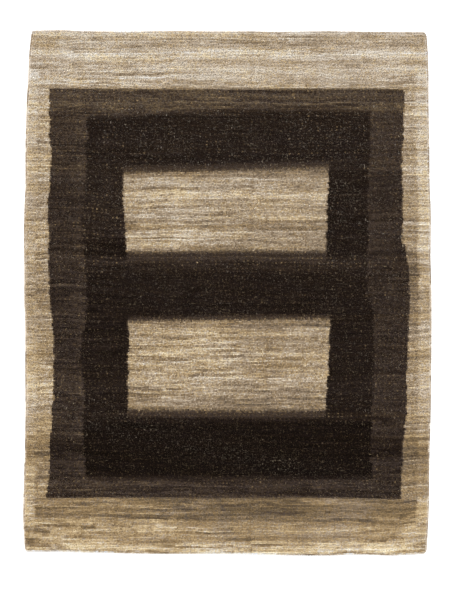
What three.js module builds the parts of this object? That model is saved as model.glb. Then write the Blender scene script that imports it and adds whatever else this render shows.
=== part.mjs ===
// Gabbeh: a hand-knotted wool rug lying flat, with an overcast cord along each long side.
// Millimetres, +Z up, the floor is z = 0. +X runs across the rug and +Y along it.
// The origin is the middle of the rug, on the floor.
import * as THREE from "three";
import { mergeVertices } from "three/addons/utils/BufferGeometryUtils.js";

// Size in the middle of the rug, cords included
const NOMINAL_WIDTH = 1516;
const NOMINAL_LENGTH = 1950;

// Thickness: foundation and pile together, and what is left of it where the pile is trimmed at the rim
const PILE_TOP = 15;
const RIM_HEIGHT = 9;
const SHOULDER = 12;
const UNEVEN = 0.7;

// Overcast cords at the two long sides, and the gap that keeps each clear of the body.
// Each cord stops short of the rug's ends, where the body's corners reach round it.
const CORD_WIDTH = 7;
const CORD_HEIGHT = 7.5;
const CORD_CLEARANCE = 0.3;
const CORD_SETBACK = 9;
const CORNER_COVER = 6;
const CORD_END_SCALE = 0.55;
const CORD_SIDES = 8;

// Grid of the body's upper face: even steps in the middle and close ones at the rim
const COLUMNS = 30;
const ROWS = 40;
const RIM_STEPS = [0, 2, CORNER_COVER, 8, 12, 20];

// How far each long side lies from the centre line, at stations along the rug
const SIDES = [
  { along: -982, left: 754, right: 741 },
  { along: -890, left: 761, right: 746 },
  { along: -790, left: 762, right: 751 },
  { along: -640, left: 758, right: 752 },
  { along: -450, left: 754, right: 757 },
  { along: -290, left: 755, right: 759 },
  { along: -160, left: 755, right: 760 },
  { along: -40, left: 758, right: 760 },
  { along: 50, left: 759, right: 759 },
  { along: 140, left: 759, right: 756 },
  { along: 230, left: 760, right: 758 },
  { along: 320, left: 758, right: 757 },
  { along: 400, left: 754, right: 753 },
  { along: 560, left: 754, right: 752 },
  { along: 700, left: 750, right: 749 },
  { along: 800, left: 744, right: 749 },
  { along: 880, left: 741, right: 747 },
  { along: 982, left: 731, right: 741 },
];

// How far each end lies from the middle, at stations across the rug
const ENDS = [
  { across: -762, top: 977, bottom: 965 },
  { across: -650, top: 980, bottom: 962 },
  { across: -580, top: 976, bottom: 965 },
  { across: -410, top: 974, bottom: 968 },
  { across: -230, top: 977, bottom: 971 },
  { across: -90, top: 975, bottom: 971 },
  { across: 80, top: 975, bottom: 973 },
  { across: 170, top: 973, bottom: 975 },
  { across: 300, top: 975, bottom: 977 },
  { across: 390, top: 976, bottom: 977 },
  { across: 540, top: 973, bottom: 973 },
  { across: 650, top: 973, bottom: 977 },
  { across: 762, top: 972, bottom: 971 },
];

// Radius of each corner of the body: the left or right side, at the top or bottom end
const CORNERS = {
  left: { top: 6, bottom: 12 },
  right: { top: 12, bottom: 13 },
};

// A smooth curve through one column of a table, read at any station
function stationCurve(table, key, column) {
  return (station) => {
    const last = table.length - 1;
    let row = 0;
    while (row < last - 1 && station > table[row + 1][key]) {
      row += 1;
    }
    const start = table[row];
    const stop = table[row + 1];
    const t = THREE.MathUtils.clamp((station - start[key]) / (stop[key] - start[key]), 0, 1);
    const before = table[Math.max(row - 1, 0)][column];
    const after = table[Math.min(row + 2, last)][column];
    const startSlope = (stop[column] - before) / 2;
    const stopSlope = (after - start[column]) / 2;
    const t2 = t * t;
    const t3 = t2 * t;
    return (
      start[column] * (2 * t3 - 3 * t2 + 1) +
      stop[column] * (3 * t2 - 2 * t3) +
      startSlope * (t3 - 2 * t2 + t) +
      stopSlope * (t3 - t2)
    );
  };
}

const outer = {
  left: stationCurve(SIDES, "along", "left"),
  right: stationCurve(SIDES, "along", "right"),
};
const end = {
  top: stationCurve(ENDS, "across", "top"),
  bottom: stationCurve(ENDS, "across", "bottom"),
};

// How far a round corner of a given radius draws the side in, at a distance from the end
function cornerInset(radius, distance) {
  const reach = Math.max(radius - distance, 0);
  return radius - Math.sqrt(radius * radius - reach * reach);
}

// The rug's outermost x on one side, with its round corners
function outerEdge(side, y, stop) {
  const { top, bottom } = CORNERS[side];
  const inset = cornerInset(bottom, stop) + cornerInset(top, NOMINAL_LENGTH - stop);
  const sign = side === "left" ? -1 : 1;
  return sign * (outer[side](y) - inset);
}

// Distances from one rim to the opposite one
function gridStops(length, divisions) {
  const margin = RIM_STEPS[RIM_STEPS.length - 1];
  const middle = [];
  for (let i = 1; i < divisions; i += 1) {
    middle.push(margin + ((length - 2 * margin) * i) / divisions);
  }
  const far = RIM_STEPS.map((step) => length - step).reverse();
  return [...RIM_STEPS, ...middle, ...far];
}

const across = gridStops(NOMINAL_WIDTH, COLUMNS);
const along = gridStops(NOMINAL_LENGTH, ROWS);

// Place along the rug of a stop, for a column of the grid that starts at a given x
function rowPlace(columnX, stop) {
  const low = -end.bottom(columnX);
  const high = end.top(columnX);
  return low + ((high - low) * stop) / NOMINAL_LENGTH;
}

// Height of the upper face: full in the middle, rounded down over the shoulder to the rim,
// and a little uneven, as a hand-clipped pile is
function pileHeight(x, y, rimDistance) {
  const t = Math.min(rimDistance / SHOULDER, 1);
  const round = Math.sqrt(t * (2 - t));
  const wave =
    Math.sin(x / 96 + y / 310) * 0.4 +
    Math.sin(y / 128 - x / 270) * 0.35 +
    Math.sin((x + y) / 57) * 0.25;
  const clipped = PILE_TOP - UNEVEN * (0.5 - 0.5 * wave);
  return RIM_HEIGHT + (clipped - RIM_HEIGHT) * round;
}

// The body: the outline less the cords, with round corners, a flat underside and a pile top
function bodyGeometry() {
  const points = [];
  for (const stop of along) {
    const fromTop = NOMINAL_LENGTH - stop;
    const besideCord = Math.min(stop, fromTop) > CORNER_COVER;
    const allowance = besideCord ? CORD_WIDTH + CORD_CLEARANCE : 0;
    for (const u of across) {
      const share = u / NOMINAL_WIDTH;
      const y = rowPlace(u - NOMINAL_WIDTH / 2, stop);
      const leftX = outerEdge("left", y, stop) + allowance;
      const rightX = outerEdge("right", y, stop) - allowance;
      const x = leftX + (rightX - leftX) * share;
      const rimDistance = Math.min(u, NOMINAL_WIDTH - u, stop, fromTop);
      points.push(new THREE.Vector3(x, y, pileHeight(x, y, rimDistance)));
    }
  }

  const triangles = [];
  const width = across.length;
  const height = along.length;
  const at = (column, row) => points[row * width + column];
  for (let row = 0; row < height - 1; row += 1) {
    for (let column = 0; column < width - 1; column += 1) {
      const a = at(column, row);
      const b = at(column + 1, row);
      const c = at(column + 1, row + 1);
      const d = at(column, row + 1);
      triangles.push(a, b, c, a, c, d);
    }
  }

  const rim = [];
  for (let column = 0; column < width - 1; column += 1) {
    rim.push(at(column, 0));
  }
  for (let row = 0; row < height - 1; row += 1) {
    rim.push(at(width - 1, row));
  }
  for (let column = width - 1; column > 0; column -= 1) {
    rim.push(at(column, height - 1));
  }
  for (let row = height - 1; row > 0; row -= 1) {
    rim.push(at(0, row));
  }
  const foot = rim.map((point) => new THREE.Vector3(point.x, point.y, 0));
  rim.forEach((point, i) => {
    const next = (i + 1) % rim.length;
    triangles.push(foot[i], foot[next], rim[next], foot[i], rim[next], point);
  });

  const flat = foot.map((point) => new THREE.Vector2(point.x, point.y));
  for (const [i, j, k] of THREE.ShapeUtils.triangulateShape(flat, [])) {
    triangles.push(foot[i], foot[k], foot[j]);
  }
  return solidFrom(triangles);
}

// An overcast cord: a flat-bottomed section swept along one side, smaller at its two ends.
// It has the body's own stations, so the gap between them stays even.
function cordGeometry(side) {
  const sign = side === "left" ? -1 : 1;
  const last = NOMINAL_LENGTH - CORD_SETBACK;
  const inner = along.filter((stop) => stop > CORD_SETBACK && stop < last);
  const stops = [CORD_SETBACK, ...inner, last];

  const sections = stops.map((stop, index) => {
    const y = rowPlace((sign * NOMINAL_WIDTH) / 2, stop);
    const atEnd = index === 0 || index === stops.length - 1;
    const scale = atEnd ? CORD_END_SCALE : 1;
    const middle = outerEdge(side, y, stop) - (sign * CORD_WIDTH) / 2;
    const reach = scale / Math.cos(Math.PI / CORD_SIDES);
    const section = [];
    for (let i = 0; i < CORD_SIDES; i += 1) {
      const angle = ((i + 0.5) / CORD_SIDES) * 2 * Math.PI;
      const x = middle + (CORD_WIDTH / 2) * reach * Math.cos(angle);
      const z = (CORD_HEIGHT / 2) * (scale + reach * Math.sin(angle));
      section.push(new THREE.Vector3(x, y, z));
    }
    return section;
  });

  const triangles = [];
  for (let s = 0; s < sections.length - 1; s += 1) {
    for (let i = 0; i < CORD_SIDES; i += 1) {
      const j = (i + 1) % CORD_SIDES;
      const a = sections[s][i];
      const b = sections[s + 1][i];
      const c = sections[s + 1][j];
      const d = sections[s][j];
      triangles.push(a, b, c, a, c, d);
    }
  }
  const startCap = sections[0];
  const stopCap = sections[sections.length - 1];
  for (let i = 1; i < CORD_SIDES - 1; i += 1) {
    triangles.push(startCap[0], startCap[i], startCap[i + 1]);
    triangles.push(stopCap[0], stopCap[i + 1], stopCap[i]);
  }
  return solidFrom(triangles);
}

// A mesh of merged vertices from a list of triangle corners
function solidFrom(triangles) {
  const loose = new THREE.BufferGeometry().setFromPoints(triangles);
  const solid = mergeVertices(loose, 1e-4);
  solid.computeVertexNormals();
  return solid;
}

function wool(color) {
  return new THREE.MeshStandardMaterial({ color, roughness: 0.95, metalness: 0 });
}

function piece(name, geometry, material) {
  const mesh = new THREE.Mesh(geometry, material);
  mesh.name = name;
  return mesh;
}

const pileWool = wool(0x6b5c4b);
const edgeWool = wool(0xa3917a);

const rug = new THREE.Group();
rug.add(
  piece("knotted_rug", bodyGeometry(), pileWool),
  piece("selvedge_left", cordGeometry("left"), edgeWool),
  piece("selvedge_right", cordGeometry("right"), edgeWool)
);

export default rug;
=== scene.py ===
# Gabbeh: the wool pile, woven back and overcast sides of a hand-knotted rug that lies flat.
# Metres, in the frame of the model: +X across the rug, +Y along it, +Z up out of the pile.
import math

import bpy
import numpy as np
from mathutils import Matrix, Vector
from mathutils.bvhtree import BVHTree
from mathutils.kdtree import KDTree


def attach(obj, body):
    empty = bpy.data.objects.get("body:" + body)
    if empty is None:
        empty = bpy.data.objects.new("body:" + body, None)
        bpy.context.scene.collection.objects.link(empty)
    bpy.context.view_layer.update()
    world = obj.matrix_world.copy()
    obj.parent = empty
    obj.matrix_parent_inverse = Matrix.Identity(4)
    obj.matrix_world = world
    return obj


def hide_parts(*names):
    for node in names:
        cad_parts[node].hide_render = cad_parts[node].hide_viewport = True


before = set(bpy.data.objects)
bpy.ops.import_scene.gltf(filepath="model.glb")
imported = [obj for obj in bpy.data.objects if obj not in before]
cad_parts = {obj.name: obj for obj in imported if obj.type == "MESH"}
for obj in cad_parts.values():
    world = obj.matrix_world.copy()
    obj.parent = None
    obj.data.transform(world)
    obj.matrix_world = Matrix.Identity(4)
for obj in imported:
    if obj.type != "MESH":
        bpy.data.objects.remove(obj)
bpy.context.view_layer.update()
SEED = 41
rng = np.random.default_rng(SEED)

# Knots
KNOT_WIDE = 0.0050
ROW_HIGH = 0.0056
YARN_PLACES = [-0.25, 0.25]
TUFT_WIDE = 0.0026
TUFT_LONG = 0.0040
TUFT_DEEP = 0.0062
TUFT_LEAN = 0.0014
TUFT_TURN = 0.35
TUFT_SKEW = 0.4
TUFT_SWELL = (0.85, 1.15)
TUFT_CORNERS = 4
TIP_SCATTER = 0.0009
TIP_HEIGHT_SPREAD = 0.0007
KNOT_SCATTER = 0.0005

# Rows, warps and the bands across the ends are not quite straight. Rows and warps straighten
# towards the rug's own edges.
ROW_WANDER = dict(size=0.0060, stretch=0.5, phase=0.8)
WARP_WANDER = dict(size=0.0016, stretch=0.5, phase=2.9)
BAND_WANDER = dict(size=0.003, stretch=0.2, phase=5.0)
WANDER_RISE = 20
WANDER_WAVES = [
    dict(part=0.5, across=9.1, along=3.7, phase=1.0),
    dict(part=0.3, across=21.0, along=-8.3, phase=2.1),
    dict(part=0.2, across=43.0, along=17.0, phase=3.3),
]

# Foundation
FOUNDATION_TOP = 0.006
BACK_RIB = 0.0007
BACK_COLUMNS = 60
BACK_MARGIN = 0.0005
BACK_PASSES = 3

# Levels and zones of the model's solids that this script reads back
FOOT_LEVEL = 0.0005
FOOT_DECIMALS = 6
SECTION_DECIMALS = 5
SECTION_DEPTH = 1e-4
SIDE_ZONE = 0.70
END_ZONE = 0.958
CORNER_SIZE = 0.018
CORD_TAIL = 0.005

# What a cord takes of the rug's width, and how near the ends the body reaches round it
CORD_ALLOWANCE = 0.0073
CORNER_COVER = 0.0068

# Knots at the sides lean out over the cords and leave the outermost part of each in view
CORD_SHOWN = 0.0021
FOOT_INSET = 0.0012
LEANING_FOOT = 0.0062
RIM_MARGIN = 0.001
TOP_INSET = 0.0004
LEANING_DROP = 0.1

# Short tufts along the two ends, which lean out over the edge of the foundation
END_STEP = 0.0034
END_REACH = dict(top=0.0030, bottom=0.0012)
END_SETBACK = 0.0035
END_LEVELS = [0.0026, 0.0048, 0.0070]
END_TUFT_WIDE = 0.0026
END_TUFT_HIGH = 0.0020
END_TUFT_RISE = 0.0008
END_STEP_SCATTER = 0.25
END_TIP_SCATTER = 0.0006
END_REACH_SPREAD = 0.0003

# Wool at the very rim is greyer than the pile beside it, partly to offset the warm light the floor
# bounces onto it. Its tone also carries painted light and shade by side, against the sun's shading:
# painted shade at the left and top rim, painted light at the right and bottom rim, and a little painted
# shade on the end tufts.
RIM_BAND_WIDTH = 0.006
RIM_LIGHT_SHADE_SHARES = dict(left=0.93, right=1.05, top=0.94, bottom=1.10)
RIM_GREY = 2.6
END_PAINTED_SHADE = 0.97

# Overcast sides
WRAP_PITCH = 0.0042
WRAP_DEPTH = 0.00055
WRAP_SIDES = 8
WRAP_OVER = 0.0009
WRAP_STEPS = 3
WRAP_TONES = [0.44, 0.50, 0.56, 0.62, 0.68]
WRAP_SHARES = [0.16, 0.26, 0.24, 0.18, 0.16]
WRAPS_ALIKE = 5
WRAP_GOLD = -3.2

# Camera, from the photo's frame
PHOTO_WIDE = 450
PHOTO_HIGH = 600
METRES_PER_PIXEL = 0.003727
RUG_MIDDLE_PIXEL = (227.6, 293.1)
LENS = 90
SENSOR = 36


# Where the wool fields meet, in metres from the middle of the rug
FRAME_SIDES = [
    dict(along=-0.76, left=-0.672, right=0.647),
    dict(along=-0.60, left=-0.661, right=0.652),
    dict(along=-0.45, left=-0.653, right=0.665),
    dict(along=-0.27, left=-0.648, right=0.670),
    dict(along=-0.13, left=-0.650, right=0.673),
    dict(along=-0.01, left=-0.664, right=0.678),
    dict(along=0.09, left=-0.669, right=0.676),
    dict(along=0.14, left=-0.667, right=0.666),
    dict(along=0.18, left=-0.668, right=0.663),
    dict(along=0.19, left=-0.667, right=0.652),
    dict(along=0.33, left=-0.671, right=0.652),
    dict(along=0.48, left=-0.656, right=0.651),
    dict(along=0.60, left=-0.664, right=0.654),
    dict(along=0.76, left=-0.663, right=0.659),
]
FIELD_SIDES = [
    dict(along=-0.69, left=-0.528, right=0.533),
    dict(along=-0.54, left=-0.541, right=0.534),
    dict(along=-0.38, left=-0.531, right=0.540),
    dict(along=-0.22, left=-0.550, right=0.546),
    dict(along=-0.08, left=-0.526, right=0.545),
    dict(along=0.00, left=-0.525, right=0.521),
    dict(along=0.12, left=-0.528, right=0.520),
    dict(along=0.26, left=-0.542, right=0.527),
    dict(along=0.38, left=-0.529, right=0.520),
    dict(along=0.54, left=-0.526, right=0.529),
    dict(along=0.69, left=-0.518, right=0.531),
]
UPPER_SIDES = [
    dict(along=0.15, left=-0.375, right=0.367),
    dict(along=0.22, left=-0.380, right=0.369),
    dict(along=0.33, left=-0.390, right=0.373),
    dict(along=0.46, left=-0.388, right=0.377),
]
LOWER_SIDES = [
    dict(along=-0.44, left=-0.370, right=0.362),
    dict(along=-0.36, left=-0.373, right=0.368),
    dict(along=-0.27, left=-0.370, right=0.376),
    dict(along=-0.19, left=-0.367, right=0.379),
    dict(along=-0.10, left=-0.373, right=0.382),
]
ENDS = [
    dict(across=-0.65, frame_top=0.763, frame_bottom=-0.763, field_top=0.660, field_bottom=-0.689),
    dict(across=-0.30, frame_top=0.760, frame_bottom=-0.763, field_top=0.668, field_bottom=-0.691),
    dict(across=0.00, frame_top=0.759, frame_bottom=-0.766, field_top=0.684, field_bottom=-0.692),
    dict(across=0.30, frame_top=0.761, frame_bottom=-0.762, field_top=0.684, field_bottom=-0.697),
    dict(across=0.65, frame_top=0.759, frame_bottom=-0.768, field_top=0.680, field_bottom=-0.696),
]
PANEL_ENDS = [
    dict(across=-0.38, upper_top=0.447, upper_bottom=0.155, lower_top=-0.104, lower_bottom=-0.434),
    dict(across=-0.15, upper_top=0.451, upper_bottom=0.157, lower_top=-0.103, lower_bottom=-0.436),
    dict(across=0.10, upper_top=0.459, upper_bottom=0.158, lower_top=-0.098, lower_bottom=-0.439),
    dict(across=0.38, upper_top=0.464, upper_bottom=0.156, lower_top=-0.097, lower_bottom=-0.436),
]


def station(table, key, column, where):
    """Reads one column of a table at any place between its stations."""
    places = [row[key] for row in table]
    values = [row[column] for row in table]
    return np.interp(where, places, values)


def outer_line():
    """The rug's outline with its cords, as a closed line, and its four edges as functions."""
    body = np.array([v.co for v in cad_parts["knotted_rug"].data.vertices])
    foot = np.unique(np.round(body[body[:, 2] < FOOT_LEVEL][:, :2], FOOT_DECIMALS), axis=0)
    chains = {}
    for side, sign in (("left", -1), ("right", 1)):
        line = cord_line(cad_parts["selvedge_" + side])[1:-1]
        outer = np.stack([line[:, 1] + sign * line[:, 2], line[:, 0]], axis=1)
        after_start = foot[:, 1] > outer[:, 1].min() - CORD_TAIL
        before_stop = foot[:, 1] < outer[:, 1].max() + CORD_TAIL
        beside = (sign * foot[:, 0] > SIDE_ZONE) & after_start & before_stop
        foot = np.concatenate([foot[~beside], outer])
        chains[side] = outer
    rim = foot[np.argsort(np.arctan2(foot[:, 1], foot[:, 0]))]
    ends = foot[(np.abs(foot[:, 0]) < SIDE_ZONE + CORNER_SIZE) & (np.abs(foot[:, 1]) > END_ZONE)]
    for name, sign in (("bottom", -1), ("top", 1)):
        chain = ends[sign * ends[:, 1] > 0]
        chains[name] = chain[np.argsort(chain[:, 0])]

    def edge(name, axis):
        chain = chains[name]
        return lambda where: np.interp(where, chain[:, axis], chain[:, 1 - axis])

    return dict(
        rim=rim,
        left=edge("left", 1),
        right=edge("right", 1),
        bottom=edge("bottom", 0),
        top=edge("top", 0),
    )


def cord_line(node):
    """The middle line and half sizes of a side cord, from the model's own sections."""
    points = np.array([v.co for v in node.data.vertices])
    places = np.unique(np.round(points[:, 1], SECTION_DECIMALS))
    rows = []
    for y in places:
        section = points[np.abs(points[:, 1] - y) < SECTION_DEPTH]
        low = section.min(axis=0)
        high = section.max(axis=0)
        rows.append((y, (low[0] + high[0]) / 2, (high[0] - low[0]) / 2, high[2]))
    return np.array(rows)


outline = outer_line()
FULL_WIDTH = float(outline["right"](0) - outline["left"](0))
FULL_LENGTH = float(outline["top"](0) - outline["bottom"](0))
KNOTS_ACROSS = round(FULL_WIDTH / KNOT_WIDE)
ROWS_ALONG = round(FULL_LENGTH / ROW_HIGH)


def beside_cord(x, y):
    """Whether a place along the rug has cords beside it, away from the ends."""
    from_end = np.minimum(y - outline["bottom"](x), outline["top"](x) - y)
    return from_end > CORNER_COVER


def body_sides(x, y):
    """The body's two edges at places along the rug: the outline less the cords."""
    taken = np.where(beside_cord(x, y), CORD_ALLOWANCE, 0.0)
    return outline["left"](y) + taken, outline["right"](y) - taken


def place(share_x, share_y, sides=None):
    """A point of the rug from its shares across and along, following the uneven edges."""
    guide = (share_x - 0.5) * FULL_WIDTH
    low = outline["bottom"](guide)
    high = outline["top"](guide)
    y = low + (high - low) * share_y
    if sides is None:
        left, right = outline["left"](y), outline["right"](y)
    else:
        left, right = sides(guide, y)
    x = left + (right - left) * share_x
    return x, y


def wander(a, b, way):
    """A smooth wave in two directions, between about -1 and 1."""
    b = b * way["stretch"]
    total = 0
    for wave in WANDER_WAVES:
        angle = wave["across"] * a + wave["along"] * b + wave["phase"] * way["phase"]
        total = total + wave["part"] * np.sin(angle)
    return total


def inside_rim(x, y, rim):
    """How far each point lies inside the rim, negative outside it."""
    step = np.roll(rim, -1, axis=0) - rim
    length2 = (step**2).sum(axis=1)
    distance = np.full(x.shape, np.inf)
    crossings = np.zeros(x.shape, int)
    for (sx, sy), (dx, dy), l2 in zip(rim, step, length2):
        t = np.clip(((x - sx) * dx + (y - sy) * dy) / l2, 0, 1)
        distance = np.minimum(distance, np.hypot(x - sx - t * dx, y - sy - t * dy))
        if dy != 0:
            spans = (sy > y) != (sy + dy > y)
            crossings += spans & (x < sx + dx * (y - sy) / dy)
    return np.where(crossings % 2 == 1, distance, -distance)


# Rows of knots

def knot_grid():
    """Every knot: its place, its row and how far it is from the rim."""
    column, row = np.meshgrid(np.arange(KNOTS_ACROSS), np.arange(ROWS_ALONG))
    column = column.ravel()
    row = row.ravel()
    share_x = (column + 0.5) / KNOTS_ACROSS
    share_y = (row + 0.5) / ROWS_ALONG
    x, y = place(share_x, share_y)
    free_x = np.minimum(1, np.minimum(share_x, 1 - share_x) * WANDER_RISE)
    free_y = np.minimum(1, np.minimum(share_y, 1 - share_y) * WANDER_RISE)
    slow_y = y + ROW_WANDER["size"] * free_y * wander(x, y, ROW_WANDER)
    slow_x = x + WARP_WANDER["size"] * free_x * wander(y, x, WARP_WANDER)
    x = slow_x + rng.normal(0, KNOT_SCATTER, x.size)
    y = slow_y + rng.normal(0, KNOT_SCATTER, y.size)
    inside = inside_rim(x, y, outline["rim"])
    from_side = np.minimum(x - outline["left"](y), outline["right"](y) - x)
    keep = (inside > RIM_MARGIN) & (from_side > CORD_SHOWN)
    values = dict(x=x, y=y, row=row, column=column, inside=inside)
    return {key: value[keep] for key, value in values.items()}


def fresh_part(hold, rebound):
    """How much of a row's value is new, so that all rows vary alike."""
    return math.sqrt((1 + rebound) ** 2 - hold**2) * math.sqrt((1 - rebound) / (1 + rebound))


def ragged(spread, hold, rebound=0.0):
    """A value for each row: neighbouring rows share part of it, and rows further on swing back."""
    fresh = fresh_part(hold, rebound)
    line = rng.normal(0, 1, ROWS_ALONG)
    for i in range(2, ROWS_ALONG):
        line[i] = hold * line[i - 1] - rebound * line[i - 2] + fresh * line[i]
    return spread * line


def soft_step(distance, width):
    """0 outside, 1 inside, and a soft rise over the given width."""
    t = np.clip(distance / width + 0.5, 0, 1)
    return t * t * (3 - 2 * t)


# Wool fields. The border has three yarns: in its outermost strip, beside the frame and at the ends.
STRIP, SIDE, BORDER, FRAME, FIELD, UPPER, LOWER = range(7)
END_BORDER = 0.765
END_BLEND = 0.012

# How ragged the fields' long edges are from row to row, and how soft their edges are
FRAME_RAGGED = dict(spread=0.0020, hold=0.6, width=0.006)
FIELD_RAGGED = dict(spread=0.003, hold=0.5, width=0.005)
PANEL_RAGGED = dict(spread=0.0022, hold=0.4, width=0.007)
FRAME_BLEND = dict(top=0.010, bottom=0.011)
FIELD_BLEND = dict(top=0.030, bottom=0.024)
FIELD_TOP_INSET = 0.003

# Bands of lighter or darker wool have soft edges, and some run over the left part only
BAND_EDGE = 0.008
LEFT_PART = -0.25
LEFT_BLEND = 0.50

# Tone: the lightness of wool as the eye sees it, 0 black to 1 white.
# The border across each end, at places along the rug
END_TONES = [
    dict(along=-0.975, tone=0.69),
    dict(along=-0.943, tone=0.635),
    dict(along=-0.934, tone=0.615),
    dict(along=-0.922, tone=0.55),
    dict(along=-0.905, tone=0.52),
    dict(along=-0.888, tone=0.57),
    dict(along=-0.866, tone=0.54),
    dict(along=-0.857, tone=0.50),
    dict(along=-0.839, tone=0.47),
    dict(along=-0.831, tone=0.41),
    dict(along=-0.800, tone=0.42),
    dict(along=-0.790, tone=0.45),
    dict(along=-0.760, tone=0.42),
    dict(along=0.765, tone=0.60),
    dict(along=0.785, tone=0.67),
    dict(along=0.805, tone=0.68),
    dict(along=0.834, tone=0.735),
    dict(along=0.845, tone=0.665),
    dict(along=0.868, tone=0.68),
    dict(along=0.892, tone=0.83),
    dict(along=0.903, tone=0.74),
    dict(along=0.914, tone=0.665),
    dict(along=0.924, tone=0.655),
    dict(along=0.936, tone=0.655),
    dict(along=0.958, tone=0.68),
    dict(along=0.972, tone=0.72),
]

# The border along each side, and how much lighter its outermost strip is
SIDE_TONES = [
    dict(along=-0.76, left=0.57, right=0.51),
    dict(along=-0.64, left=0.50, right=0.41),
    dict(along=-0.58, left=0.42, right=0.38),
    dict(along=-0.50, left=0.54, right=0.51),
    dict(along=-0.34, left=0.63, right=0.57),
    dict(along=-0.26, left=0.61, right=0.54),
    dict(along=-0.17, left=0.57, right=0.54),
    dict(along=-0.11, left=0.49, right=0.46),
    dict(along=-0.04, left=0.52, right=0.48),
    dict(along=0.01, left=0.51, right=0.41),
    dict(along=0.09, left=0.56, right=0.38),
    dict(along=0.17, left=0.61, right=0.55),
    dict(along=0.26, left=0.54, right=0.50),
    dict(along=0.34, left=0.56, right=0.51),
    dict(along=0.40, left=0.57, right=0.56),
    dict(along=0.55, left=0.64, right=0.60),
    dict(along=0.62, left=0.61, right=0.61),
    dict(along=0.74, left=0.65, right=0.62),
]
STRIP_LIFTS = [
    dict(along=-0.880, left=0.00, right=0.02),
    dict(along=-0.845, left=0.09, right=0.11),
    dict(along=-0.828, left=0.18, right=0.18),
    dict(along=-0.775, left=0.22, right=0.20),
    dict(along=-0.750, left=0.08, right=0.07),
    dict(along=-0.50, left=0.05, right=0.08),
    dict(along=-0.05, left=0.07, right=0.11),
    dict(along=0.05, left=0.05, right=0.20),
    dict(along=0.30, left=0.04, right=0.14),
    dict(along=0.55, left=0.06, right=0.13),
    dict(along=0.80, left=0.09, right=0.09),
]

# How wide the left and right values blend in the middle, and the outermost strip's place and edges
SIDE_BLEND = 0.60
EDGE_STRIP = dict(left=0.043, right=0.047)
STRIP_RAGGED = dict(spread=0.0030, hold=0.5)
STRIP_BLEND = 0.014
STRIP_START = -0.89
STRIP_STOP = 0.835
STRIP_END_BLEND = 0.012

# How the wools lighten or darken from side to side
ACROSS_SHIFTS = {
    "top": [
        (-0.70, -0.02), (-0.58, 0.02), (-0.45, 0.03), (-0.36, -0.005), (-0.15, -0.01),
        (0.05, -0.02), (0.16, -0.02), (0.24, -0.03), (0.35, -0.03), (0.70, -0.025),
    ],
    "bottom": [
        (-0.70, 0.005), (-0.50, 0.005), (-0.25, 0.0), (-0.06, -0.02), (0.18, -0.03),
        (0.30, -0.025), (0.45, 0.005), (0.70, 0.035),
    ],
    FRAME: [
        (-0.66, -0.014), (-0.59, -0.008), (-0.54, 0.014), (0.52, 0.0), (0.56, -0.012),
        (0.66, -0.014),
    ],
    UPPER: [
        (-0.38, -0.01), (-0.29, 0.03), (-0.20, 0.045), (-0.10, 0.01), (0.25, 0.0),
        (0.37, -0.035),
    ],
    LOWER: [
        (-0.37, -0.02), (-0.30, 0.03), (-0.05, 0.02), (0.06, -0.03), (0.16, -0.045),
        (0.22, 0.0), (0.37, 0.0),
    ],
}

# The tones of the other fields, and how far bands of lighter or darker wool shift them
UPPER_TONE = 0.586
UPPER_BANDS = [
    dict(along=0.448, reach=0.018, shift=-0.10),
    dict(along=0.364, reach=0.012, shift=0.045),
    dict(along=0.281, reach=0.007, shift=0.02),
    dict(along=0.251, reach=0.020, shift=-0.07),
    dict(along=0.205, reach=0.018, shift=-0.035),
    dict(along=0.174, reach=0.012, shift=-0.05),
]
LOWER_TONE = 0.600
LOWER_BANDS = [
    dict(along=-0.104, reach=0.026, shift=-0.11),
    dict(along=-0.134, reach=0.012, shift=-0.050),
    dict(along=-0.182, reach=0.020, shift=-0.050),
    dict(along=-0.240, reach=0.020, shift=0.03),
    dict(along=-0.323, reach=0.012, shift=0.05),
    dict(along=-0.370, reach=0.018, shift=-0.04),
    dict(along=-0.415, reach=0.024, shift=-0.10),
]
FRAME_TONE = 0.185
FRAME_BANDS = [
    dict(along=0.716, reach=0.042, shift=0.070),
    dict(along=0.710, reach=0.010, shift=0.020),
    dict(along=0.560, reach=0.110, shift=0.030),
    dict(along=0.440, reach=0.030, shift=0.025, side="left"),
    dict(along=0.340, reach=0.050, shift=-0.010),
    dict(along=-0.345, reach=0.040, shift=0.015),
    dict(along=-0.575, reach=0.035, shift=-0.050),
    dict(along=-0.722, reach=0.024, shift=0.045, side="left"),
    dict(along=-0.745, reach=0.010, shift=-0.015),
]
FIELD_TONE = 0.106
FIELD_BANDS = [
    dict(along=0.590, reach=0.080, shift=0.018),
    dict(along=0.478, reach=0.020, shift=0.025),
    dict(along=0.330, reach=0.130, shift=0.036, side="left"),
    dict(along=0.108, reach=0.028, shift=0.035),
    dict(along=-0.345, reach=0.030, shift=0.015),
    dict(along=-0.462, reach=0.018, shift=0.028),
    dict(along=-0.570, reach=0.110, shift=-0.030),
]

# How much each wool varies, as a share of its tone: in streaks along its rows, in thin long lines
# and from knot to knot, and below that from row to row
WOOL_SWING = {
    STRIP: dict(streak=0.045, line=0.10, knot=0.050),
    SIDE: dict(streak=0.072, line=0.12, knot=0.085),
    BORDER: dict(streak=0.076, line=0.15, knot=0.050),
    FRAME: dict(streak=0.115, line=0.13, knot=0.135),
    FIELD: dict(streak=0.090, line=0.10, knot=0.100),
    UPPER: dict(streak=0.074, line=0.16, knot=0.085),
    LOWER: dict(streak=0.078, line=0.15, knot=0.080),
}
DARKEST_SHARE = -0.33
ROW_SWING = 0.025
ROW_HOLD = 0.45
ROW_RETURN = 0.3
DARK_ROW_SWING = 0.035
SIDE_ROW_SWING = dict(left=0.055, right=0.088)

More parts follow.
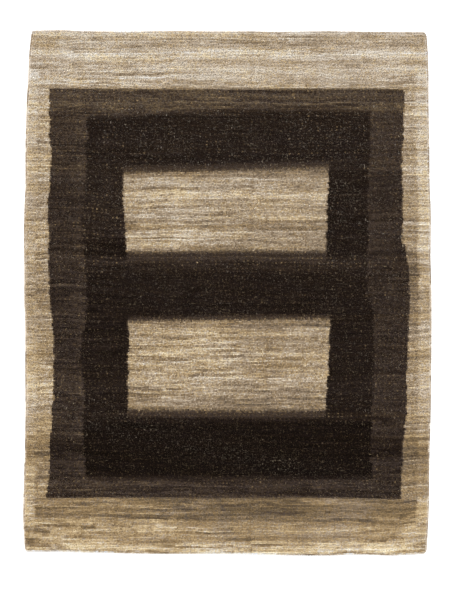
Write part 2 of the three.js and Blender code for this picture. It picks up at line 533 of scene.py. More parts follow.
# How lively the streaks, their colour and their patches are at places along the rug
LIVELY = [
    dict(along=-0.95, swing=1.55, gold=1.6, patch=0.62),
    dict(along=-0.85, swing=1.50, gold=1.8, patch=0.62),
    dict(along=-0.82, swing=1.20, gold=1.9, patch=0.62),
    dict(along=-0.70, swing=1.05, gold=1.2, patch=0.45),
    dict(along=0.60, swing=1.05, gold=1.0, patch=0.45),
    dict(along=0.72, swing=1.25, gold=1.0, patch=0.45),
    dict(along=0.80, swing=0.92, gold=1.1, patch=0.60),
    dict(along=0.90, swing=0.84, gold=1.1, patch=0.60),
]

# How long the streaks, patches, thin lines and calmer places run, and how much rows share them
STREAK_LENGTH = 0.15
STREAK_PART = 0.78
SHORT_LENGTH = 0.045
SHORT_PART = 0.48
ROW_SHARED = 0.22
ROW_REBOUND = 0.24
PATCH_LENGTH = 0.085
PATCH_SHARED = 0.78
LINE_LENGTH = 0.24
LINE_SHARED = 0.30
DARK_LINES = 1.15
LIGHT_LINES = 1.5
LIGHT_LINE_PART = 0.5
CALM_LENGTH = 0.40
CALM_SHARED = 0.89
CALM_SWING = 0.42
CALM_RANGE = (-1.5, 1.2)
LINE_LIMIT = 1.0

# The palest wool stands out less than its share, and no wool leaves the range
PALEST = 0.71
PALE_SHARE = 0.50
TONE_RANGE = (0.02, 0.9)

# Faint lines along the rug, lighter or darker, as where its warps lie looser or tighter
WARP_LINES = [
    dict(across=0.085, reach=0.005, share=-0.035),
    dict(across=0.107, reach=0.006, share=0.030),
    dict(across=0.147, reach=0.006, share=-0.040),
    dict(across=0.231, reach=0.006, share=0.030),
    dict(across=0.330, reach=0.006, share=-0.035),
]

# Golden and greyish wool, in long streaks. The lower end is more golden than the upper one.
GOLD_LENGTH = 0.11
GOLD_SHARED = 0.72
GOLD_PART = 0.62
GOLD_PATCH_SHARED = 0.93
GOLD_PATCH_PART = 0.40
GOLD_STREAK_PART = 0.3
GOLD_KNOT_PART = 1.15
DARK_GOLD_PART = 0.4
GOLD_SWING = 1.25
GOLD_ROW_SWING = 10
GOLD_ROW_HOLD = 0.4
PALE_GOLD = 14
MOST_GOLD = 2.5
LEAST_GOLD = -4.5
GOLD_TONES = [
    dict(along=-0.97, left=1.8, right=1.6),
    dict(along=-0.75, left=0.9, right=0.4),
    dict(along=-0.60, left=1.6, right=1.5),
    dict(along=-0.50, left=-0.3, right=-0.8),
    dict(along=-0.38, left=1.3, right=0.0),
    dict(along=-0.20, left=0.8, right=-0.4),
    dict(along=-0.08, left=-0.7, right=-1.4),
    dict(along=0.10, left=-0.2, right=-1.5),
    dict(along=0.20, left=-0.2, right=0.4),
    dict(along=0.30, left=-1.1, right=-0.6),
    dict(along=0.41, left=-0.4, right=0.1),
    dict(along=0.50, left=-1.5, right=0.4),
    dict(along=0.61, left=0.0, right=-0.7),
    dict(along=0.80, left=-1.7, right=-1.7),
    dict(along=0.97, left=-1.9, right=-1.9),
]

# The dark wools' goldenness along the rug, and bands of it in the panels
DARK_GOLD = [
    dict(along=-0.60, gold=-0.65),
    dict(along=-0.10, gold=-0.30),
    dict(along=0.30, gold=-0.05),
    dict(along=0.60, gold=0.25),
]
PANEL_GOLD_BANDS = [
    dict(along=0.415, reach=0.028, shift=-1.0),
    dict(along=0.274, reach=0.012, shift=-0.5),
    dict(along=0.244, reach=0.016, shift=1.1),
    dict(along=-0.175, reach=0.045, shift=0.6),
    dict(along=-0.325, reach=0.045, shift=-0.7),
    dict(along=-0.412, reach=0.020, shift=-1.1),
]

# Light knots in the dark wools: how far apart they may be, how many show, and how light,
# unlike one another and golden they are
SPECK_ROWS = 2.5
SPECK_COLUMNS = 3.5
SPECK_SHARE = 0.62
SPECK_SHARE_RANGE = (0.05, 0.9)
SPECK_ROW_SWING = 0.28
SPECK_ROW_HOLD = 0.2
SPECK_LIFT = 0.090
SPECK_SPREAD = dict(shape=2.0, scale=0.5)
SPECK_UNLIKE = 0.62
SPECK_GOLD = 2.0
FRAME_SPECKS = 0.8

# At its top end the frame has a lighter row in every few
LIGHT_ROW_EVERY = 3
LIGHT_ROW_START = 0.692
LIGHT_ROW_BLEND = 0.012
LIGHT_ROW_LIFT = 0.03

# The panels, and their soft ends, over and under which the weaver mixed the wools
PANELS = [
    dict(zone=UPPER, name="upper", sides=UPPER_SIDES, fade=0.028, over=0.026, under=0.036, gold=-0.8),
    dict(zone=LOWER, name="lower", sides=LOWER_SIDES, fade=0.022, over=0.018, under=0.028, gold=-0.3),
]
PANEL_JITTER = 0.003
MIXED_TONE = 0.25
MIXED_COVER = 0.6
MIXED_BLEND = dict(over=0.012, under=0.014)
MIXED_SHARE = 0.3


def banded(tone, table, x, y):
    """A wool's tone along the rug with its bands, some of them on one side only."""
    tone = np.full(y.size, tone)
    for band in table:
        shift = band["shift"] * soft_step(band["reach"] - np.abs(y - band["along"]), BAND_EDGE)
        if band.get("side") == "left":
            shift = shift * soft_step(LEFT_PART - x, LEFT_BLEND)
        tone = tone + shift
    return tone


def warp_lines(x):
    """How much lighter or darker the lines along the rug make its wool, as a share."""
    share = np.zeros(x.size)
    for line in WARP_LINES:
        share = share + line["share"] * soft_step(line["reach"] - np.abs(x - line["across"]), BAND_EDGE)
    return share


def either_side(pair, x):
    """The value for the left or the right half of the rug."""
    return np.where(x < 0, pair["left"], pair["right"])


def across_shift(name, x):
    """How much lighter a wool is at places across the rug."""
    return np.interp(x, *zip(*ACROSS_SHIFTS[name]))


def runs(length, shared, rebound=0.0):
    """Even random values on the loom that last a while along a row and partly into the next."""
    shape = (ROWS_ALONG, KNOTS_ACROSS)
    change = rng.random(shape) < KNOT_WIDE / length
    change[:, 0] = True
    pick = np.cumsum(change.ravel()) - 1
    plateau = rng.normal(0, 1, pick[-1] + 1)[pick].reshape(shape)
    keep = math.exp(-KNOT_WIDE / length)
    drift = rng.normal(0, 1, shape)
    for column in range(1, KNOTS_ACROSS):
        drift[:, column] = keep * drift[:, column - 1] + math.sqrt(1 - keep**2) * drift[:, column]
    value = (plateau + drift) / math.sqrt(2)
    fresh = fresh_part(shared, rebound)
    for line in range(2, ROWS_ALONG):
        value[line] = shared * value[line - 1] - rebound * value[line - 2] + fresh * value[line]
    return value


def long_lines():
    """Thin lines that run a long way along a row: dark ones, and a few light ones."""
    value = runs(LINE_LENGTH, LINE_SHARED)
    dark = np.maximum(value - DARK_LINES, 0)
    light = np.maximum(-value - LIGHT_LINES, 0)
    return LIGHT_LINE_PART * light - LINE_LIMIT * np.tanh(dark / LINE_LIMIT)


def every(index, pitch):
    """Picks one index in each pitch, which need not be a whole number."""
    return np.floor((index + 1) / pitch) > np.floor(index / pitch)


def lay_out_wools(knots):
    """Gives each knot its wool field, and the tone and goldenness of its yarn."""
    x, y, row, column = knots["x"], knots["y"], knots["row"], knots["column"]
    on_loom = (row, column)
    calm = np.exp(CALM_SWING * np.clip(runs(CALM_LENGTH, CALM_SHARED), *CALM_RANGE))[on_loom]
    calm = calm * station(LIVELY, "along", "swing", y)
    patchy = station(LIVELY, "along", "patch", y)

    def between_sides(table, edge):
        left = station(table, "along", "left", y) + ragged(edge["spread"], edge["hold"])[row]
        right = station(table, "along", "right", y) + ragged(edge["spread"], edge["hold"])[row]
        return np.minimum(soft_step(x - left, edge["width"]), soft_step(right - x, edge["width"]))

    def end(key, table):
        return station(table, "across", key, x)

    def by_side(table):
        left = station(table, "along", "left", y)
        right = station(table, "along", "right", y)
        return left + (right - left) * soft_step(x, SIDE_BLEND)

    def yarn(zone, tone, row_swing):
        swing = WOOL_SWING[zone]
        streak = STREAK_PART * runs(STREAK_LENGTH, ROW_SHARED, ROW_REBOUND)
        short = SHORT_PART * runs(SHORT_LENGTH, ROW_SHARED, ROW_REBOUND)
        woven = swing["streak"] * (streak + short) + swing["line"] * long_lines()
        patch = swing["streak"] * patchy * runs(PATCH_LENGTH, PATCH_SHARED)[on_loom]
        by_knot = swing["knot"] * rng.normal(0, 1, x.size)
        share = row_swing * by_row + calm * (woven[on_loom] + patch) + by_knot
        mixed = tone * (1 + np.maximum(share, DARKEST_SHARE))
        return np.where(mixed > PALEST, PALEST + PALE_SHARE * (mixed - PALEST), mixed)

    # The border beside the frame, beyond it at each end, and its strip along each edge
    by_row = ragged(1.0, ROW_HOLD, ROW_RETURN)[row]
    beside = by_side(SIDE_TONES)
    band_place = y + BAND_WANDER["size"] * wander(x, y, BAND_WANDER)
    beyond = station(END_TONES, "along", "tone", band_place)
    beyond = beyond + np.where(y > 0, across_shift("top", x), across_shift("bottom", x))
    at_end = soft_step(np.abs(y) - END_BORDER, END_BLEND)
    border_tone = beside * (1 - at_end) + beyond * at_end
    border_row = either_side(SIDE_ROW_SWING, x) * (1 - at_end) + ROW_SWING * at_end
    strip_tone = border_tone + by_side(STRIP_LIFTS)
    edge_distance = np.minimum(x - outline["left"](y), outline["right"](y) - x)
    strip_width = either_side(EDGE_STRIP, x) + ragged(**STRIP_RAGGED)[row]
    in_strip = soft_step(strip_width - edge_distance, STRIP_BLEND)
    in_strip *= soft_step(y - STRIP_START, STRIP_END_BLEND) * soft_step(STRIP_STOP - y, STRIP_END_BLEND)

    # The frame and the dark field
    frame_in = between_sides(FRAME_SIDES, FRAME_RAGGED)
    frame_in *= soft_step(end("frame_top", ENDS) - y, FRAME_BLEND["top"])
    frame_in *= soft_step(y - end("frame_bottom", ENDS), FRAME_BLEND["bottom"])
    field_in = between_sides(FIELD_SIDES, FIELD_RAGGED)
    field_in *= soft_step(end("field_top", ENDS) - FIELD_TOP_INSET - y, FIELD_BLEND["top"])
    field_in *= soft_step(y - end("field_bottom", ENDS), FIELD_BLEND["bottom"])

    # Each wool as it would be if it covered the whole rug
    frame_tone = banded(FRAME_TONE, FRAME_BANDS, x, y) + across_shift(FRAME, x)
    field_tone = banded(FIELD_TONE, FIELD_BANDS, x, y)
    upper_tone = banded(UPPER_TONE, UPPER_BANDS, x, y) + across_shift(UPPER, x)
    lower_tone = banded(LOWER_TONE, LOWER_BANDS, x, y) + across_shift(LOWER, x)
    tones = {
        STRIP: yarn(STRIP, strip_tone, border_row),
        SIDE: yarn(SIDE, border_tone, border_row),
        BORDER: yarn(BORDER, border_tone, border_row),
        FRAME: yarn(FRAME, frame_tone, DARK_ROW_SWING),
        FIELD: yarn(FIELD, field_tone, DARK_ROW_SWING),
        UPPER: yarn(UPPER, upper_tone, ROW_SWING),
        LOWER: yarn(LOWER, lower_tone, ROW_SWING),
    }

    # Light knots in the dark wools, and the frame's lighter rows
    stagger = row % 2
    lattice = every(row, SPECK_ROWS) & every(column + stagger, SPECK_COLUMNS)
    shown = SPECK_SHARE + ragged(SPECK_ROW_SWING, SPECK_ROW_HOLD)[row]
    speck = lattice & (rng.random(x.size) < np.clip(shown, *SPECK_SHARE_RANGE))
    unlike = rng.gamma(SPECK_SPREAD["shape"], SPECK_SPREAD["scale"], x.size) ** SPECK_UNLIKE
    lift = SPECK_LIFT * speck * unlike
    tones[FIELD] = tones[FIELD] + lift * tones[FIELD] / FIELD_TONE
    light_row = (row % LIGHT_ROW_EVERY == 0) * soft_step(y - LIGHT_ROW_START, LIGHT_ROW_BLEND)
    tones[FRAME] = tones[FRAME] + FRAME_SPECKS * lift + LIGHT_ROW_LIFT * light_row

    # The fields laid over one another
    tone = tones[SIDE] * (1 - at_end) + tones[BORDER] * at_end
    tone = tone * (1 - in_strip) + tones[STRIP] * in_strip
    zone = np.full(x.size, BORDER)

    def lay(tone, zone, over, cover, name):
        """Lays one wool over the others. A knot's zone is that of most of its yarn."""
        return tone * (1 - cover) + over * cover, np.where(cover > 0.5, name, zone)

    tone, zone = lay(tone, zone, tones[FRAME], frame_in, FRAME)
    tone, zone = lay(tone, zone, tones[FIELD], frame_in * field_in, FIELD)
    for panel in PANELS:
        jitter = PANEL_JITTER * rng.normal(0, 1, x.size)
        top = end(panel["name"] + "_top", PANEL_ENDS) + jitter
        bottom = end(panel["name"] + "_bottom", PANEL_ENDS) + jitter
        across = between_sides(panel["sides"], PANEL_RAGGED)
        mixed = MIXED_COVER * across * soft_step(top + panel["over"] - y, MIXED_BLEND["over"])
        mixed = mixed * soft_step(y - bottom + panel["under"], MIXED_BLEND["under"])
        tone = tone * (1 - mixed) + mixed * (MIXED_TONE + MIXED_SHARE * (tone - FIELD_TONE))
        light = across * soft_step(top - y, panel["fade"]) * soft_step(y - bottom, panel["fade"])
        tone, zone = lay(tone, zone, tones[panel["zone"]], light, panel["zone"])

    # Painted light and shade at the rim, by side, and faint lines along the rug
    rim_band = soft_step(RIM_BAND_WIDTH - knots["inside"], RIM_BAND_WIDTH)
    end_light_shade = np.where(y < 0, RIM_LIGHT_SHADE_SHARES["bottom"], RIM_LIGHT_SHADE_SHARES["top"])
    near_end = np.minimum(y - outline["bottom"](x), outline["top"](x) - y) < RIM_BAND_WIDTH
    rim_light_shade = np.where(near_end, end_light_shade, either_side(RIM_LIGHT_SHADE_SHARES, x))
    tone = tone * (1 + warp_lines(x)) * (1 - rim_band * (1 - rim_light_shade))

    # Goldenness
    gold = GOLD_PART * runs(GOLD_LENGTH, GOLD_SHARED)
    gold = gold + GOLD_PATCH_PART * runs(GOLD_LENGTH, GOLD_PATCH_SHARED)
    gold = (gold + GOLD_STREAK_PART * runs(STREAK_LENGTH, ROW_SHARED))[on_loom]
    dark = (zone == FRAME) | (zone == FIELD)
    gold = gold * np.where(dark, DARK_GOLD_PART, 1.0)
    gold = gold + GOLD_KNOT_PART * rng.normal(0, 1, x.size)
    gold = gold + SPECK_GOLD * (speck & dark)
    gold = GOLD_SWING * station(LIVELY, "along", "gold", y) * gold
    gold_row = GOLD_ROW_SWING * (border_row - ROW_SWING) * ragged(1, GOLD_ROW_HOLD)[row]
    base = np.where(dark, station(DARK_GOLD, "along", "gold", y), by_side(GOLD_TONES))
    for panel in PANELS:
        bands = banded(panel["gold"], PANEL_GOLD_BANDS, x, y)
        base = np.where(zone == panel["zone"], bands, base)
    base = base + PALE_GOLD * (1 - at_end) * np.maximum(tone - PALEST, 0)
    gold = np.clip(gold + base + gold_row, -MOST_GOLD, MOST_GOLD)
    return knots | dict(
        zone=zone,
        tone=np.clip(tone, *TONE_RANGE),
        # The rim is greyed, partly against the floor's warm bounce light
        gold=gold - RIM_GREY * rim_band,
    )


knots = lay_out_wools(knot_grid())


# Pile

LOOK_DOWN_FROM = 0.1
MAP_MARGIN = 0.01
FIELD_SPLIT = 0.03


def pile_heights(x, y):
    """Height of the clipped pile over each point, from the model's own upper face."""
    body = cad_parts["knotted_rug"]
    vertices = [v.co for v in body.data.vertices]
    polygons = [p.vertices for p in body.data.polygons]
    tree = BVHTree.FromPolygons(vertices, polygons)
    down = Vector((0, 0, -1))
    heights = np.full(x.size, FOUNDATION_TOP)
    for i, (px, py) in enumerate(zip(x, y)):
        hit = tree.ray_cast(Vector((px, py, LOOK_DOWN_FROM)), down)[0]
        if hit is not None:
            heights[i] = hit.z
    return heights


def add_values(mesh, values):
    """Gives each point of a mesh the values that the wool's shader reads."""
    for key, row in values.items():
        layer = mesh.attributes.new(key, "FLOAT", "POINT")
        layer.data.foreach_set("value", row.astype(np.float32).ravel())


def linked(name, data):
    """An object of a mesh, lamp or camera, in the scene."""
    obj = bpy.data.objects.new(name, data)
    bpy.context.scene.collection.objects.link(obj)
    return obj


def tuft_mesh(name, points, faces, values, material, bake_map=None):
    """A mesh object from arrays: its points, its triangles and its values at the points."""
    mesh = bpy.data.meshes.new(name)
    mesh.vertices.add(len(points))
    mesh.vertices.foreach_set("co", points.astype(np.float32).ravel())
    count = len(faces)
    mesh.loops.add(faces.size)
    mesh.loops.foreach_set("vertex_index", faces.astype(np.int32).ravel())
    mesh.polygons.add(count)
    mesh.polygons.foreach_set("loop_start", np.arange(count, dtype=np.int32) * faces.shape[1])
    mesh.polygons.foreach_set("use_smooth", np.ones(count, bool))
    add_values(mesh, values)
    mesh.update(calc_edges=True)
    mesh.validate()
    if bake_map is not None:
        uv = mesh.uv_layers.new(name="OFBake")
        uv.data.foreach_set("uv", bake_map[faces.ravel()].astype(np.float32).ravel())
    mesh.materials.append(material)
    return linked(name, mesh)


def polygon_mesh(name, points, polygons, values, material):
    """A mesh object from its points and faces of any size, and its values at the points."""
    mesh = bpy.data.meshes.new(name)
    mesh.from_pydata([tuple(p) for p in points.tolist()], [], polygons)
    mesh.update()
    add_values(mesh, values)
    mesh.materials.append(material)
    return linked(name, mesh)


def flat_map(points):
    """A plan view of the piece as a map from 0 to 1."""
    low = points[:, :2].min(axis=0)
    size = (points[:, :2].max(axis=0) - low).max()
    return (points[:, :2] - low) / size * (1 - 2 * MAP_MARGIN) + MAP_MARGIN


def tufts(foot, tip, wide, long):
    """Blunt four-sided tufts: each a ring of corners round its foot and a tip."""
    count = len(foot)
    turn = rng.normal(0, TUFT_TURN, count)
    cosine, sine = np.cos(turn)[:, None], np.sin(turn)[:, None]
    swell = rng.uniform(*TUFT_SWELL, count)
    points = np.zeros((count, TUFT_CORNERS + 1, 3))
    for corner in range(TUFT_CORNERS):
        angle = corner * 2 * math.pi / TUFT_CORNERS
        u = (swell * math.cos(angle))[:, None] * wide
        v = (swell * math.sin(angle))[:, None] * long
        points[:, corner] = foot + cosine * (u + v) + sine * (v - u) * TUFT_SKEW
    points[:, TUFT_CORNERS] = tip
    first = np.arange(count)[:, None] * (TUFT_CORNERS + 1)
    sides = np.array([[i, (i + 1) % TUFT_CORNERS, TUFT_CORNERS] for i in range(TUFT_CORNERS)])
    faces = (first[:, None, :] + sides[None, :, :]).reshape(-1, 3)
    return points.reshape(-1, 3), faces


def knot_tufts(chosen):
    """The two yarn ends of each chosen knot. At the sides they lean out over the cords."""
    yarns = len(YARN_PLACES)
    x = np.repeat(knots["x"][chosen], yarns)
    y = np.repeat(knots["y"][chosen], yarns)
    top = np.repeat(knots["top"][chosen], yarns)
    side = np.tile(np.array(YARN_PLACES), chosen.sum())
    x = x + side * FULL_WIDTH / KNOTS_ACROSS
    spread = rng.normal(0, TIP_SCATTER, (2, x.size))
    tip_z = top + rng.normal(0, TIP_HEIGHT_SPREAD, x.size)
    left, right = body_sides(x, y)
    foot_x = np.clip(x, left + FOOT_INSET, right - FOOT_INSET)
    leaning = np.abs(x - foot_x) > 0
    foot_z = np.where(leaning, LEANING_FOOT, tip_z - TUFT_DEEP)
    foot = np.stack([foot_x, y, foot_z], axis=1)
    tip = np.stack([x + spread[0], y - TUFT_LEAN + spread[1], tip_z], axis=1)
    return tufts(foot, tip, np.array([TUFT_WIDE, 0, 0]), np.array([0, TUFT_LONG, 0]))


def wool_of(chosen, repeat=1):
    """What the wool's shader reads: the tone and goldenness of the chosen knots' yarn."""
    return {key: np.repeat(knots[key][chosen], repeat) for key in ("tone", "gold")}


# Materials

NATURAL_WOOL = [
    (0.00, (2, 1, 1)),
    (0.04, (13, 9, 7)),
    (0.08, (26, 19, 15)),
    (0.10, (31, 23, 19)),
    (0.135, (41, 32, 27)),
    (0.19, (57, 46, 39)),
    (0.26, (76, 63, 53)),
    (0.36, (104, 88, 69)),
    (0.48, (140, 119, 93)),
    (0.58, (165, 145, 118)),
    (0.66, (183, 164, 139)),
    (0.74, (201, 186, 163)),
    (0.80, (212, 201, 184)),
    (0.86, (222, 215, 203)),
]
LILAC_TINT = (0.90, 1.0, 1.22)
GREY_TINT = (0.94, 1.0, 1.12)
GOLD_TINT = (1.02, 1.0, 0.86)
WOOL_TINTS = [(LEAST_GOLD, LILAC_TINT), (-MOST_GOLD, GREY_TINT), (MOST_GOLD, GOLD_TINT)]
FIBRE_SCALE = 800
FIBRE_DETAIL = 2.0
FIBRE_RANGE = (0.3, 0.7)
FIBRE_SHADE = 0.22
WOOL_ROUGHNESS = 0.95
WOOL_SHINE = 0.05
SHEEN_ROUGHNESS = 0.5


def linear(colour):
    """An sRGB colour of 0 to 255 as the linear colour that a node takes."""
    shares = [c / 255 for c in colour]
    return [s / 12.92 if s <= 0.04045 else ((s + 0.055) / 1.055) ** 2.4 for s in shares]


def attribute(tree, name):
    node = tree.nodes.new("ShaderNodeAttribute")
    node.attribute_name = name
    return node.outputs["Fac"]


def fibres(tree):
    """Fine unevenness between the fibres of a tuft."""
    where = tree.nodes.new("ShaderNodeTexCoord")
    noise = tree.nodes.new("ShaderNodeTexNoise")
    noise.inputs["Scale"].default_value = FIBRE_SCALE
    noise.inputs["Detail"].default_value = FIBRE_DETAIL
    tree.links.new(where.outputs["Object"], noise.inputs["Vector"])
    return noise.outputs["Fac"]


def ramp(tree, value, stops):
    """A run of colours through the given stops."""
    node = tree.nodes.new("ShaderNodeValToRGB")
    elements = node.color_ramp.elements
    while len(elements) < len(stops):
        elements.new(0.5)
    for element, (where, colour) in zip(elements, stops):
        element.position = where
        element.color = [*colour, 1.0]
    tree.links.new(value, node.inputs[0])
    return node.outputs[0]


def remap(tree, value, reads, gives=(0.0, 1.0)):
    """A value of one range carried over to another."""
    node = tree.nodes.new("ShaderNodeMapRange")
    for name, number in zip(("From Min", "From Max", "To Min", "To Max"), reads + gives):
        node.inputs[name].default_value = number
    tree.links.new(value, node.inputs["Value"])
    return node.outputs[0]


def wool_colour(tree):
    """The colour of knotted wool from its tone and goldenness."""
    natural = [(tone, linear(colour)) for tone, colour in NATURAL_WOOL]
    span = MOST_GOLD - LEAST_GOLD
    tints = [((gold - LEAST_GOLD) / span, colour) for gold, colour in WOOL_TINTS]
    golden = remap(tree, attribute(tree, "gold"), (LEAST_GOLD, MOST_GOLD))
    mix = tree.nodes.new("ShaderNodeMix")
    mix.data_type = "RGBA"
    mix.blend_type = "MULTIPLY"
    mix.inputs["Factor"].default_value = 1.0
    tree.links.new(ramp(tree, attribute(tree, "tone"), natural), mix.inputs["A"])
    tree.links.new(ramp(tree, golden, tints), mix.inputs["B"])
    shade = remap(tree, fibres(tree), FIBRE_RANGE, (1 - FIBRE_SHADE, 1 + FIBRE_SHADE))
    fine = tree.nodes.new("ShaderNodeVectorMath")
    fine.operation = "SCALE"
    tree.links.new(mix.outputs["Result"], fine.inputs[0])
    tree.links.new(shade, fine.inputs["Scale"])
    return fine.outputs["Vector"]


def wool(name, shine=WOOL_SHINE):
    """A matte wool material whose colour varies knot by knot."""
    material = bpy.data.materials.new(name)
    material.use_nodes = True
    tree = material.node_tree
    shader = tree.nodes["Principled BSDF"]
    tree.links.new(wool_colour(tree), shader.inputs["Base Color"])
    shader.inputs["Roughness"].default_value = WOOL_ROUGHNESS
    shader.inputs["Specular IOR Level"].default_value = shine
    shader.inputs["Sheen Weight"].default_value = shine
    shader.inputs["Sheen Roughness"].default_value = SHEEN_ROUGHNESS
    return material


WOOLS = dict(
    beige_wool=wool("beige_wool"),
    brown_wool=wool("brown_wool", shine=0.0),
    black_brown_wool=wool("black_brown_wool", shine=0.0),
)

body_left, body_right = body_sides(knots["x"], knots["y"])
over_body = np.clip(knots["x"], body_left + TOP_INSET, body_right - TOP_INSET)
knots["top"] = pile_heights(over_body, knots["y"]) - LEANING_DROP * np.abs(knots["x"] - over_body)

upper_half = knots["y"] > FIELD_SPLIT
border = knots["zone"] == BORDER
PILE_PIECES = [
    ("pile_border_top", border & (knots["y"] > END_BORDER), "beige_wool"),
    ("pile_border_bottom", border & (knots["y"] < -END_BORDER), "beige_wool"),
    ("pile_border_sides", border & (np.abs(knots["y"]) <= END_BORDER), "beige_wool"),
    ("pile_frame", knots["zone"] == FRAME, "brown_wool"),
    ("pile_field_upper", (knots["zone"] == FIELD) & upper_half, "black_brown_wool"),
    ("pile_field_lower", (knots["zone"] == FIELD) & ~upper_half, "black_brown_wool"),
    ("pile_panel_upper", knots["zone"] == UPPER, "beige_wool"),
    ("pile_panel_lower", knots["zone"] == LOWER, "beige_wool"),
]


def pile_piece(name, chosen, slot):
    """The pile of the chosen knots, as one piece."""
    points, faces = knot_tufts(chosen)
    values = wool_of(chosen, len(points) // chosen.sum())
    piece = tuft_mesh(name, points, faces, values, WOOLS[slot], flat_map(points))
    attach(piece, "root")
    return piece


pile = [pile_piece(*row) for row in PILE_PIECES]


# The wool of the knot nearest to any place
knot_tree = KDTree(knots["x"].size)
for number, (knot_x, knot_y) in enumerate(zip(knots["x"], knots["y"])):
    knot_tree.insert((knot_x, knot_y, 0), number)
knot_tree.balance()


def wool_near(x, y):
    return wool_of([knot_tree.find((px, py, 0))[1] for px, py in zip(x, y)])


def end_piece(name):
    """Tufts along one end of the rug, in three courses over the foundation's edge."""
    sign = 1 if name == "top" else -1
    side = CORNER_SIZE / 2
    edge_y = outline[name](0.0)
    course = np.arange(outline["left"](edge_y) + side, outline["right"](edge_y) - side, END_STEP)
    scatter = END_STEP * END_STEP_SCATTER
    x = np.concatenate([course + rng.normal(0, scatter, course.size) for _ in END_LEVELS])
    y = outline[name](x)
    z = np.repeat(END_LEVELS, course.size)
    foot = np.stack([x, y - sign * END_SETBACK, z], axis=1)
    reach = END_REACH[name] + rng.normal(0, END_REACH_SPREAD, x.size)
    tip_x = x + rng.normal(0, END_TIP_SCATTER, x.size)
    tip = np.stack([tip_x, y + sign * reach, z + END_TUFT_RISE], axis=1)
    wide = np.array([END_TUFT_WIDE, 0, 0])
    points, faces = tufts(foot, tip, wide, np.array([0, 0, END_TUFT_HIGH]))
    near = wool_near(x, y)
    # Painted shade: the end tufts are a little darker than the knots beside them
    near["tone"] = END_PAINTED_SHADE * near["tone"]
    values = {key: np.repeat(row, TUFT_CORNERS + 1) for key, row in near.items()}
    piece = tuft_mesh("pile_end_" + name, points, faces, values, WOOLS["beige_wool"])
    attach(piece, "root")
    return piece


pile += [end_piece("top"), end_piece("bottom")]


# Foundation

def foundation():
    """The woven ground under the pile: ribbed underneath by its rows, its upper side hidden."""
    columns = BACK_COLUMNS + 1
    lines = 2 * ROWS_ALONG + 1
    share_x, share_y = np.meshgrid(np.linspace(0, 1, columns), np.linspace(0, 1, lines))
    x, y = place(share_x.ravel(), share_y.ravel(), body_sides)
    rib = np.tile(np.arange(lines)[:, None] % 2, (1, columns)).ravel()
    z = np.where(rib == 1, 0.0, BACK_RIB)
    inside = inside_rim(x, y, outline["rim"])
    for _ in range(BACK_PASSES):
        out = np.maximum(BACK_MARGIN - inside, 0)
        pull = np.stack([x, y], axis=1)
        pull /= np.linalg.norm(pull, axis=1)[:, None]
        x = x - pull[:, 0] * out
        y = y - pull[:, 1] * out
        inside = inside_rim(x, y, outline["rim"])
    under = np.stack([x, y, z], axis=1)
    over = np.stack([x, y, np.full(x.size, FOUNDATION_TOP)], axis=1)
    index = np.arange(lines * columns).reshape(lines, columns)
    a = index[:-1, :-1].ravel()
    b = index[:-1, 1:].ravel()
    c = index[1:, 1:].ravel()
    d = index[1:, :-1].ravel()
    back = np.stack([a, d, c, b], axis=1)
    ring = np.concatenate([index[0, :-1], index[:-1, -1], index[-1, :0:-1], index[:0:-1, 0]])
    following = np.roll(ring, -1)
    top_ring = lines * columns + np.arange(ring.size)
    top_following = np.roll(top_ring, -1)
    wall = np.stack([ring, following, top_following, top_ring], axis=1)
    points = np.concatenate([under, over[ring]])
    polygons = [tuple(f) for f in np.concatenate([back, wall]).tolist()]
    polygons.append(tuple(top_ring.tolist()))
    values = wool_near(points[:, 0], points[:, 1])
    obj = polygon_mesh("woven_back", points, polygons, values, wool("foundation_wool"))
    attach(obj, "root")
    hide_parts("knotted_rug")
    return obj


back = foundation()


# Overcast sides

def overcast_side(side):
    """A side cord wrapped in wool turn by turn, a few turns in each tone of yarn."""
    node = "selvedge_" + side
    line = cord_line(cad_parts[node])
    start, stop = line[0, 0], line[-1, 0]
    wraps = int((stop - start) / WRAP_PITCH)
    steps = wraps * WRAP_STEPS
    y = np.linspace(start, stop, steps + 1)
    middle = np.interp(y, line[:, 0], line[:, 1])
    half = np.interp(y, line[:, 0], line[:, 2])
    high = np.interp(y, line[:, 0], line[:, 3])
    angle = np.arange(WRAP_SIDES) / WRAP_SIDES * 2 * math.pi
    yy, aa = np.meshgrid(y, angle, indexing="ij")
    phase = (yy - start) / WRAP_PITCH * 2 * math.pi + aa
    swell = WRAP_OVER - WRAP_DEPTH * (0.5 - 0.5 * np.cos(phase))
    ax = half[:, None] + swell
    az = high[:, None] / 2 + swell
    x = middle[:, None] + ax * np.cos(aa)
    z = high[:, None] / 2 + az * np.sin(aa)
    points = np.stack([x.ravel(), yy.ravel(), np.maximum(z, 0).ravel()], axis=1)
    index = np.arange(points.shape[0]).reshape(steps + 1, WRAP_SIDES)
    a = index[:-1, :]
    b = index[1:, :]
    c = np.roll(b, -1, axis=1)
    d = np.roll(a, -1, axis=1)
    faces = np.stack([a.ravel(), b.ravel(), c.ravel(), d.ravel()], axis=1)
    polygons = [tuple(f) for f in faces.tolist()]
    polygons.append(tuple(index[0, :].tolist()))
    polygons.append(tuple(index[-1, ::-1].tolist()))
    change = rng.random(wraps + 1) < 1 / WRAPS_ALIKE
    stretch = np.cumsum(change)
    yarns = rng.choice(WRAP_TONES, stretch[-1] + 1, p=WRAP_SHARES)
    wrap = np.clip(((yy - start) / WRAP_PITCH + aa / (2 * math.pi)).astype(int), 0, wraps)
    values = dict(tone=yarns[stretch[wrap]], gold=np.full(len(points), WRAP_GOLD))
    obj = polygon_mesh("overcast_" + side, points, polygons, values, selvedge_wool)
    obj.data.polygons.foreach_set("use_smooth", np.ones(len(polygons), bool))
    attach(obj, "root")
    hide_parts(node)
    return obj


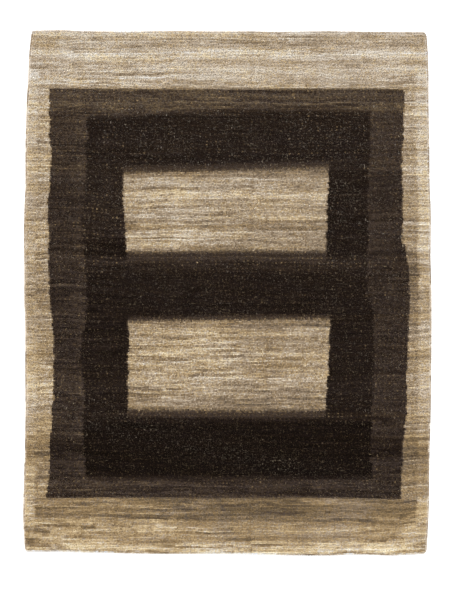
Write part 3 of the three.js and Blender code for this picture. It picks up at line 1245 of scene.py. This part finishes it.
selvedge_wool = wool("selvedge_wool")
cords = [overcast_side("left"), overcast_side("right")]


# Room: a plain pale floor, an even white sky and one soft sun

FLOOR_HALF = 12.0
FLOOR_TONE = 0.92
FLOOR_ROUGHNESS = 0.9
SKY_STRENGTH = 1.3
SUN_STRENGTH = 2.6
SUN_SPREAD = 25
SUN_TILT = (-35, -20, 0)
PILE_LEVEL = 0.009


def floor():
    mesh = bpy.data.meshes.new("floor")
    half = FLOOR_HALF
    corners = [(-half, -half, 0), (half, -half, 0), (half, half, 0), (-half, half, 0)]
    mesh.from_pydata(corners, [], [(0, 1, 2, 3)])
    material = bpy.data.materials.new("floor")
    material.use_nodes = True
    shader = material.node_tree.nodes["Principled BSDF"]
    shader.inputs["Base Color"].default_value = (FLOOR_TONE, FLOOR_TONE, FLOOR_TONE, 1)
    shader.inputs["Roughness"].default_value = FLOOR_ROUGHNESS
    shader.inputs["Specular IOR Level"].default_value = 0.0
    mesh.materials.append(material)
    linked("floor", mesh)


def lights():
    world = bpy.data.worlds.new("studio")
    bpy.context.scene.world = world
    world.use_nodes = True
    background = world.node_tree.nodes["Background"]
    background.inputs["Color"].default_value = (1, 1, 1, 1)
    background.inputs["Strength"].default_value = SKY_STRENGTH
    key = bpy.data.lights.new("key", "SUN")
    key.energy = SUN_STRENGTH
    key.angle = math.radians(SUN_SPREAD)
    linked("key", key).rotation_euler = [math.radians(angle) for angle in SUN_TILT]


def camera():
    data = bpy.data.cameras.new("camera")
    data.lens = LENS
    data.sensor_width = SENSOR
    obj = linked("camera", data)
    distance = PHOTO_HIGH * METRES_PER_PIXEL * LENS / SENSOR
    middle_x = (PHOTO_WIDE / 2 - RUG_MIDDLE_PIXEL[0]) * METRES_PER_PIXEL
    middle_y = (RUG_MIDDLE_PIXEL[1] - PHOTO_HIGH / 2) * METRES_PER_PIXEL
    obj.location = (middle_x, middle_y, PILE_LEVEL + distance)
    bpy.context.scene.camera = obj


floor()
lights()
camera()
bpy.context.scene.view_settings.view_transform = "Standard"

bpy.context.view_layer.update()
